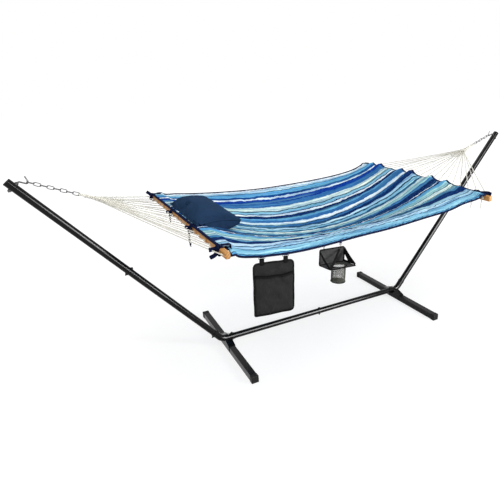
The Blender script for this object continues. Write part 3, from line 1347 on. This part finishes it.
# ---------------------------------------------------------------- bag and cup holder
BAG_SEAM, BAG_CORNER, BAG_TOP_CORNER, BAG_CLOTH = 3 * MM, 22 * MM, 4 * MM, 1.8 * MM
POCKET_CLOTH, POCKET_GAP, POCKET_SLACK = 1.2 * MM, 1.9 * MM, 5 * MM
HOLDER_SEAM, HOLDER_CORNER, HOLDER_CLOTH, SHELF_CLOTH = 2 * MM, 5 * MM, 2.0 * MM, 1.6 * MM
# width and thickness of each tape
BAG_STRAP, CUP_RIM, CUP_SEAM = (21 * MM, 1.4 * MM), (8 * MM, 3 * MM), (6 * MM, 1.2 * MM)
# the same for the tapes that are folded over an edge
BAG_EDGE, POCKET_MOUTH, POCKET_SEAM = (8 * MM, 4.6 * MM), (11 * MM, 3.2 * MM), (7 * MM, 2.4 * MM)
HOLDER_EDGE, SHELF_EDGE = (7 * MM, 4.0 * MM), (6 * MM, 4.5 * MM)
STRAP_BEND, STITCHING = 2.2 * MM, 0.7 * MM
NET_CORDS, NET_RINGS, CUP_SIDES, LOOP_SIDES = 26, 9, 48, 72
NET_CORD, NET_RING, BASE_CORD, BASE_DISH = 0.5 * MM, 0.32 * MM, 2.0 * MM, 2.5 * MM


class Hanging:
    """Local axes of a hanging piece: x along its hinge, y away from the viewer's side, z up."""

    def __init__(self, joint, plumb=0.0):
        self.plumb = plumb  # how far it leans towards hanging straight down
        joint = next(j for j in frame["joints"] if j["name"] == joint)
        self.origin = np.array(joint["pos_m"], float)
        along = unit(np.array(joint["axis"], float))
        self.x = along * np.sign(along[0])
        self.z = unit(UP - (UP @ self.x) * self.x)
        y = np.cross(self.z, self.x)
        self.y = y * np.sign(y[1])

    def world(self, x, y, z):
        x, y, z = np.broadcast_arrays(x, y, z)
        x = x - self.plumb * z
        return self.origin + x[..., None] * self.x + y[..., None] * self.y + z[..., None] * self.z

    def worlds(self, points):
        """Path through points given as (x, y, z)."""
        return np.array([self.world(*point) for point in points])

    def size(self, node):
        """Lowest and highest local corner of a CAD node."""
        points = node_points(node) - self.origin
        local = np.stack([points @ axis for axis in (self.x, self.y, self.z)], axis=1)
        return local.min(axis=0), local.max(axis=0)


def plate(hang, outline, depth, thickness, rings):
    """Cloth panel inside a 2D outline (x, z), its middle at y = depth(x, z)."""
    centre = (outline.min(axis=0) + outline.max(axis=0)) / 2
    flat = centre + (outline - centre)[None] * np.linspace(1, 0.002, rings)[:, None, None]
    x, z = flat[..., 0], flat[..., 1]
    y = depth(x, z)
    faces = [hang.world(x, y + face * thickness / 2, z) for face in (-1, 1)]
    return two_faces(faces, (False, True), flat)


def two_faces(faces, flips, flat):
    """Both faces of a ringed panel, with a UV from its flat pattern."""
    uv = np.pad(flat, ((0, 0), (0, 1), (0, 0)), mode="wrap")
    pile = Pile()
    for points, flip in zip(faces, flips):
        pile.grid(points, uv, wrap_columns=True, flip=flip)
    return pile


def folded_band(width, thickness):
    """Section of a tape folded over an edge: its thickness lies along the side direction."""
    return flat_band(thickness, width)


def bound_edge(pile, hang, outline, depth, size):
    """Tape folded over an outline's edge."""
    x, z = outline[:, 0], outline[:, 1]
    path = even_loop(hang.world(x, depth(x, z), z), 4 * MM)
    pile.tube(path, folded_band(*size), closed=True, side=hang.y)


def make_bag():
    """Flat bag: back panel with a bound edge, front pocket and two hanging straps."""
    hang = Hanging("bag_swing", 0.06)
    low, high = hang.size("bag_binding")
    box = rectangle(low[[0, 2]], high[[0, 2]], BAG_SEAM)
    radii = [BAG_TOP_CORNER, BAG_CORNER, BAG_CORNER, BAG_CORNER]
    outline = even_loop(rounded_outline(box, radii, 10), 5 * MM)
    half = (high[0] - low[0]) / 2

    def depth(x, z):
        down = (high[2] - z) / (high[2] - low[2])
        return (2.2 * MM * down * np.sin(x / half * 2.6) + 2.2 * MM * ripple(x, z, 0.13, 21)
                + 0.7 * MM * ripple(x, z, 0.05, 23) - 1.5 * MM * down)

    plate(hang, outline, depth, BAG_CLOTH, rings=16).build(
        "bag_back", "black_cloth", "magazine_bag", ("bag_panel",))
    pile = Pile()
    bound_edge(pile, hang, outline, depth, BAG_EDGE)
    pile.build("bag_edge_tape", "black_tape", "magazine_bag", ("bag_binding",))
    make_bag_pocket(hang, depth)
    make_bag_straps(hang, high[2])


def make_bag_pocket(hang, depth):
    """Slack front pocket with a bound mouth."""
    low, high = hang.size("bag_pocket")
    u, w = np.meshgrid(np.linspace(0, 1, 60), np.linspace(0, 1, 60), indexing="ij")
    gx = low[0] + 1 * MM + (high[0] - low[0] - 2 * MM) * u
    gz = low[2] + 1 * MM + (high[2] - low[2] - 1 * MM) * w
    side = np.clip(np.minimum(u, 1 - u) / 0.10, 0, 1) ** 0.6
    foot = np.clip(w / 0.10, 0, 1) ** 0.6
    slack = 1 + 0.10 * np.sin(np.pi * u) * (w > 0.9)
    bulge = side * foot * (4.0 + 3.2 * w ** 2 + 1.4 * ripple(gx, gz, 0.09, 3)) * MM * slack
    gz = gz - POCKET_SLACK * np.sin(np.pi * u) * w ** 3 - 2.0 * MM * ripple(gx, gz, 0.12, 9) * w ** 2
    y = depth(gx, gz) - POCKET_GAP - bulge
    front, back = (hang.world(gx, y + face * POCKET_CLOTH / 2, gz) for face in (-1, 1))
    Pile().slab(front, back, np.stack([gx, gz], axis=-1)).build(
        "bag_front_pocket", "black_cloth", "magazine_bag", ("bag_pocket",))
    mouth = hang.world(gx[:, -1], y[:, -1], gz[:, -1])
    seam = hang.world(gx[:, 0] * 0.995, y[:, 0] - 0.4 * MM, gz[:, 0])
    pile = Pile().tube(mouth, folded_band(*POCKET_MOUTH), side=hang.y)
    pile.tube(seam, folded_band(*POCKET_SEAM), side=hang.y)
    pile.build("bag_pocket_tape", "black_tape", "magazine_bag")


def make_bag_straps(hang, bag_top):
    """Two loops of webbing over the hinge line, each stitched across twice."""
    low, high = hang.size("bag_straps")
    pile = Pile()
    half = 11 * MM
    r = STRAP_BEND
    leg = [(r + 1.2 * MM, low[2]), (r + 1.0 * MM, bag_top), (r, -2 * MM)]
    over = [(-r * math.cos(a), r * math.sin(a)) for a in np.linspace(0, np.pi, 9)]
    profile = [(-y, z) for y, z in leg] + over + leg[::-1]
    for x in (low[0] + half, high[0] - half):
        path = even_steps(hang.worlds((x, y, z) for y, z in profile), 2.5 * MM)
        pile.tube(path, flat_band(*BAG_STRAP), side=hang.x)
        for z in (low[2] + 3 * MM, bag_top - 5 * MM):
            line = hang.world(x + np.linspace(-8, 8, 9) * MM, -r - 2.4 * MM, z)
            pile.tube(line, circle(STITCHING, 6))
    pile.build("bag_hanging_straps", "black_tape", "magazine_bag", ("bag_straps",))


def make_cup_holder():
    """Back panel, sloping shelf with a net cup through it, and the tapes that hold the shelf out."""
    hang = Hanging("cup_holder_swing")
    low, high = hang.size("cup_holder_panel")
    box = rectangle(low[[0, 2]], high[[0, 2]], HOLDER_SEAM)
    outline = even_loop(rounded_outline(box, HOLDER_CORNER), 4 * MM)

    def depth(x, z):
        return 1.4 * MM * ripple(x, z, 0.10, 31) * np.clip((high[2] - z) / 0.03, 0.2, 1)

    plate(hang, outline, depth, HOLDER_CLOTH, rings=12).build(
        "cup_holder_back", "grey_cloth", "cup_holder", ("cup_holder_panel",))
    tapes = Pile()
    bound_edge(tapes, hang, outline, depth, HOLDER_EDGE)
    make_cup_shelf(hang, tapes)
    make_cup_sides(hang, tapes)
    tapes.build("cup_holder_tapes", "black_tape", "cup_holder", ("cup_holder_straps",))
    make_cup(hang)


def make_cup_shelf(hang, tapes):
    """Sloping shelf: rings of cloth between its oblong edge and the cup's hole."""
    low, high = hang.size("cup_holder_shelf")
    cup_low, cup_high = hang.size("cup_mesh")
    centre = ((cup_low + cup_high) / 2)[:2]
    outer = even_loop(rounded_outline(rectangle(low[:2], high[:2]), 4 * MM), 5 * MM)
    turn = np.arctan2(outer[:, 1] - centre[1], outer[:, 0] - centre[0])
    inner = centre + polar(turn, (cup_high[0] - cup_low[0]) / 2)
    steps = np.linspace(0, 1, 8)[:, None, None]
    flat = outer[None] * (1 - steps) + inner[None] * steps

    def height(x, y):
        slope = (y - high[1]) / (low[1] - high[1])
        return low[2] + 1 * MM + (high[2] - low[2] - 2 * MM) * slope + 0.8 * MM * ripple(x, y, 0.07, 2)

    x, y = flat[..., 0], flat[..., 1]
    z = height(x, y)
    faces = [hang.world(x, y, z + face * SHELF_CLOTH / 2) for face in (-1, 1)]
    two_faces(faces, (True, False), flat).build(
        "cup_shelf", "grey_cloth", "cup_holder", ("cup_holder_shelf",))
    edge = hang.world(outer[:, 0], outer[:, 1], height(outer[:, 0], outer[:, 1]))
    tapes.tube(edge, folded_band(*SHELF_EDGE), closed=True, side=hang.z)


def make_cup_sides(hang, tapes):
    """Side panel with an opening, and straps from the back's top down to the shelf's front corners."""
    low, high = hang.size("cup_holder_straps")
    shelf_low, shelf_high = hang.size("cup_holder_shelf")
    panel_low, panel_high = hang.size("cup_holder_panel")
    crossing = panel_low[0] + 0.80 * (panel_high[0] - panel_low[0])
    left, right = low[0] + 1 * MM, high[0] - 1 * MM
    back, crown, foot = high[1] - 2 * MM, high[2] - 9 * MM, shelf_low[2] + 2 * MM
    shelf_front = (low[1] + 6 * MM, shelf_high[2] + 2 * MM)
    side = [(back, crown), shelf_front, (back, foot)]
    hole = [(high[1] - forward, crown - share * (crown - foot))
            for forward, share in ((7 * MM, 0.42), (38 * MM, 0.80), (7 * MM, 0.84))]
    outer, inner = (around(even_loop(rounded_outline(corners, radius), 3 * MM), np.mean(hole, axis=0))
                    for corners, radius in ((side, 2 * MM), (hole, 3 * MM)))
    flat = np.stack([outer * (1 - w) + inner * w for w in np.linspace(0, 1, 5)])
    for face in (-0.7 * MM, 0.7 * MM):
        tapes.grid(hang.world(right + face, flat[..., 0], flat[..., 1]), wrap_columns=True, flip=face > 0)
    for start, finish, widths in ((left, left, (12, 14)), (crossing, left + 6 * MM, (10, 12)),
                                  (right, right, (13, 15))):
        ends = np.array([(start, back, crown), (finish, *shelf_front)])
        middle = ends.mean(axis=0) - UP * 3 * MM
        path = even_steps(curve_through(hang.worlds((ends[0], middle, ends[1])), 10), 3 * MM)
        scale = np.linspace(widths[0], widths[1], len(path)) / widths[0]
        tapes.tube(path, flat_band(widths[0] * MM, 1.4 * MM), side=hang.y + hang.z * 0.8, scale=scale)


def around(loop, centre):
    """Points of a closed 2D loop at even angles about a centre inside it."""
    turn = np.arctan2(*(loop - centre).T[::-1])
    order = np.argsort(turn)
    return np.stack([np.interp(full_turn(LOOP_SIDES), turn[order], column[order], period=2 * np.pi)
                     for column in loop.T], axis=1)


def make_cup(hang):
    """Net cup: a lattice of thin cords, a solid base, side seams and a bound rim."""
    low, high = hang.size("cup_mesh")
    centre, tall = (low + high) / 2, high[2] - low[2]
    radius = (high[0] - low[0]) / 2 - 0.5 * MM
    turn = full_turn(CUP_SIDES)

    def round_cup(reach, a, z):
        return hang.world(centre[0] + reach * np.cos(a), centre[1] + reach * np.sin(a), z)

    net = Pile()
    w = np.linspace(0, 1, 26)
    bulge = radius * (0.985 + 0.03 * np.sin(w * np.pi)) - 0.4 * MM
    for lean in (-1, 1):
        for k in range(NET_CORDS * 2):
            a = k * np.pi / NET_CORDS + lean * w * np.pi * 0.55
            net.tube(round_cup(bulge, a, low[2] + 1 * MM + w * (tall - 4 * MM)), circle(NET_CORD, 5))
    for k in range(NET_RINGS):
        ring = round_cup(radius, turn, low[2] + tall * (0.05 + 0.1 * k))
        net.tube(ring, circle(NET_RING, 5), closed=True)
    net.build("net_cup", "cup_net", "cup_holder", ("cup_mesh",))

    base = Pile()
    rings = np.linspace(1, 0.01, 10)[:, None]
    dished = low[2] + 3 * MM - BASE_DISH * (1 - rings ** 2)
    for face in (-1, 1):
        disc = round_cup(radius * rings, turn, dished + face * 0.6 * MM)
        base.grid(disc, wrap_columns=True, flip=face < 0)
    base.build("cup_base", "black_cloth", "cup_holder")

    rim = Pile()
    shelf_low, shelf_high = hang.size("cup_holder_shelf")
    front = 1 - (np.sin(turn) + 1) / 2
    top = shelf_low[2] + 3 * MM + (shelf_high[2] - shelf_low[2]) * front
    rim.tube(round_cup(radius + 2 * MM, turn, top), flat_band(*CUP_RIM), closed=True)
    for a in (0.0, np.pi):
        seam = round_cup(radius + 0.4 * MM, a, np.linspace(low[2] + 2 * MM, high[2] - 8 * MM, 12))
        rim.tube(seam, flat_band(*CUP_SEAM), side=hang.y)
    rim.tube(round_cup(radius + 0.3 * MM, turn, low[2] + 3 * MM), circle(BASE_CORD, 8), closed=True)
    rim.build("cup_rim_tape", "black_tape", "cup_holder", ("cup_rim",))


# ---------------------------------------------------------------- stand
def finish_cad_nodes():
    """Gives each CAD node that stays in view its finish."""
    for finish, starts in CAD_FINISHES.items():
        for name, node in frame["nodes"].items():
            if name.startswith(starts):
                for slot in node.material_slots:
                    slot.material = material(finish)


# ---------------------------------------------------------------- stage
# area lights: name, place, size and power; all look at a point half a metre above the floor
LIGHTS = (("key", (-1.8, -2.2, 3.4), 1.8, 58.0), ("side", (1.5, -2.75, 1.45), 0.6, 56.0),
          ("top", (0.4, 1.5, 4.2), 2.0, 50.0), ("sheen", (1.1, -2.75, 1.35), 2.1, 420.0))
WHITE = (1, 1, 1, 1)


def make_stage():
    """Camera, floor, surroundings and lights."""
    bpy.context.scene.view_settings.view_transform = "Standard"
    make_camera()
    make_floor()
    make_world()
    for name, place, size, power in LIGHTS:
        lamp = bpy.data.lights.new(name, "AREA")
        lamp.energy, lamp.size = power, size
        light = linked(name, lamp)
        light.location = place
        light.rotation_euler = (Vector((0, 0, 0.5)) - Vector(place)).to_track_quat("-Z", "Y").to_euler()
        light.visible_diffuse = name != "sheen"


def make_camera():
    settings = bpy.context.scene.hammock_stage
    yaw, pitch, roll = settings.yaw, settings.pitch, settings.roll
    forward = np.array([math.sin(yaw) * math.cos(pitch), math.cos(yaw) * math.cos(pitch), -math.sin(pitch)])
    level = np.array([math.cos(yaw), -math.sin(yaw), 0.0])
    raised = np.cross(level, forward)
    right = level * math.cos(roll) + raised * math.sin(roll)
    top = raised * math.cos(roll) - level * math.sin(roll)
    camera = linked("camera", bpy.data.cameras.new("camera"))
    turn = Matrix(np.stack([right, top, -forward], axis=1).tolist()).to_4x4()
    camera.matrix_world = Matrix.Translation(settings.place) @ turn
    camera.data.lens = settings.lens
    camera.data.sensor_width = 36.0
    camera.data.shift_x = settings.shift
    bpy.context.scene.camera = camera


def make_floor():
    """White floor that keeps the object's shadow and turns plain white further out."""
    mesh = bpy.data.meshes.new("floor")
    mesh.from_pydata([(x, y, 0) for x, y in rectangle((-40, -40), (40, 40))], [], [(0, 1, 2, 3)])
    r = Recipe(bpy.data.materials.new("pale_floor"))
    mesh.materials.append(r.done(Base_Color=(0.86, 0.86, 0.86, 1), Roughness=0.9, Specular_IOR_Level=0.1))
    away = r.node("VectorMath", {"operation": "LENGTH"})
    r.feed(away, "0", r.node("TexCoord").outputs["Object"])
    strength = r.spread(away.outputs["Value"], From_Min=1.2, From_Max=3.2, To_Min=1.17, To_Max=1.50)
    glow = r.node("Emission", Color=WHITE, Strength=strength)
    blend = r.mix_shaders(r.maths("MULTIPLY", r.seen(), 0.66), r.shader, glow)
    r.feed(r.tree.nodes["Material Output"], "Surface", blend)
    linked("floor", mesh)


def make_world():
    """Surroundings that are plain white to look at and give a softer light."""
    scene = bpy.context.scene
    scene.world = scene.world or bpy.data.worlds.new("world")
    r = Recipe(scene.world)
    r.tree.nodes.clear()
    plain, white = (r.node("Background", Color=WHITE, Strength=strength) for strength in (0.42, 1.0))
    r.node("OutputWorld", Surface=r.mix_shaders(r.seen(), plain, white))


# ---------------------------------------------------------------- operators
class HAMMOCK_OT_stage(bpy.types.Operator):
    """Makes the floor, lights and camera"""
    bl_idname = "hammock.stage"
    bl_label = "Stage"

    def execute(self, context):
        make_stage()
        return {"FINISHED"}


class HAMMOCK_OT_stand(bpy.types.Operator):
    """Finishes the stand, chains, bars and fasteners of the frame"""
    bl_idname = "hammock.stand"
    bl_label = "Stand and hardware"

    def execute(self, context):
        finish_cad_nodes()
        return {"FINISHED"}


class HAMMOCK_OT_bed(bpy.types.Operator):
    """Makes the quilted bed with its hems and edge binding"""
    bl_idname = "hammock.bed"
    bl_label = "Quilted bed"

    def execute(self, context):
        make_bed()
        return {"FINISHED"}


class HAMMOCK_OT_straps(bpy.types.Operator):
    """Makes the hem's lashings and the corner bows"""
    bl_idname = "hammock.straps"
    bl_label = "Hem lashings and corner ties"

    def execute(self, context):
        make_hem_lashings()
        make_corner_ties()
        return {"FINISHED"}


class HAMMOCK_OT_ropes(bpy.types.Operator):
    """Makes the fan ropes, their knots, the clews and the eyes"""
    bl_idname = "hammock.ropes"
    bl_label = "Ropes and clews"

    def execute(self, context):
        make_fans()
        make_clews()
        return {"FINISHED"}


class HAMMOCK_OT_pillow(bpy.types.Operator):
    """Makes the pillow and the tapes that hold it"""
    bl_idname = "hammock.pillow"
    bl_label = "Pillow"

    def execute(self, context):
        make_pillow()
        make_pillow_ties()
        return {"FINISHED"}


class HAMMOCK_OT_bag(bpy.types.Operator):
    """Makes the magazine bag"""
    bl_idname = "hammock.bag"
    bl_label = "Magazine bag"

    def execute(self, context):
        make_bag()
        return {"FINISHED"}


class HAMMOCK_OT_cup_holder(bpy.types.Operator):
    """Makes the cup holder"""
    bl_idname = "hammock.cup_holder"
    bl_label = "Cup holder"

    def execute(self, context):
        make_cup_holder()
        return {"FINISHED"}


STEPS = ("stage", "stand", "bed", "straps", "ropes", "pillow", "bag", "cup_holder")


class HAMMOCK_PT_panel(bpy.types.Panel):
    """Lists the pieces of the hammock"""
    bl_idname = "HAMMOCK_PT_panel"
    bl_label = "Hammock on stand"
    bl_space_type = "VIEW_3D"
    bl_region_type = "UI"
    bl_category = "Hammock"

    def draw(self, context):
        for step in STEPS:
            self.layout.operator("hammock." + step)
        for group in GROUPS:
            settings = getattr(context.scene, group)
            for key in settings.__annotations__:
                self.layout.prop(settings, key)


GROUPS = {
    "hammock_cloth": HammockClothSettings,
    "hammock_colours": HammockColours,
    "hammock_ropes": HammockRopeSettings,
    "hammock_stage": HammockStageSettings,
}
CLASSES = (HAMMOCK_OT_stage, HAMMOCK_OT_stand, HAMMOCK_OT_bed, HAMMOCK_OT_straps, HAMMOCK_OT_ropes,
           HAMMOCK_OT_pillow, HAMMOCK_OT_bag, HAMMOCK_OT_cup_holder, HAMMOCK_PT_panel)


def register():
    for name, group in GROUPS.items():
        bpy.utils.register_class(group)
        setattr(bpy.types.Scene, name, bpy.props.PointerProperty(type=group))
    for cls in CLASSES:
        bpy.utils.register_class(cls)


def unregister():
    for cls in reversed(CLASSES):
        bpy.utils.unregister_class(cls)
    for name, group in GROUPS.items():
        delattr(bpy.types.Scene, name)
        bpy.utils.unregister_class(group)


def main():
    register()
    for step in STEPS:
        getattr(bpy.ops.hammock, step)()


if __name__ == "__main__":
    main()
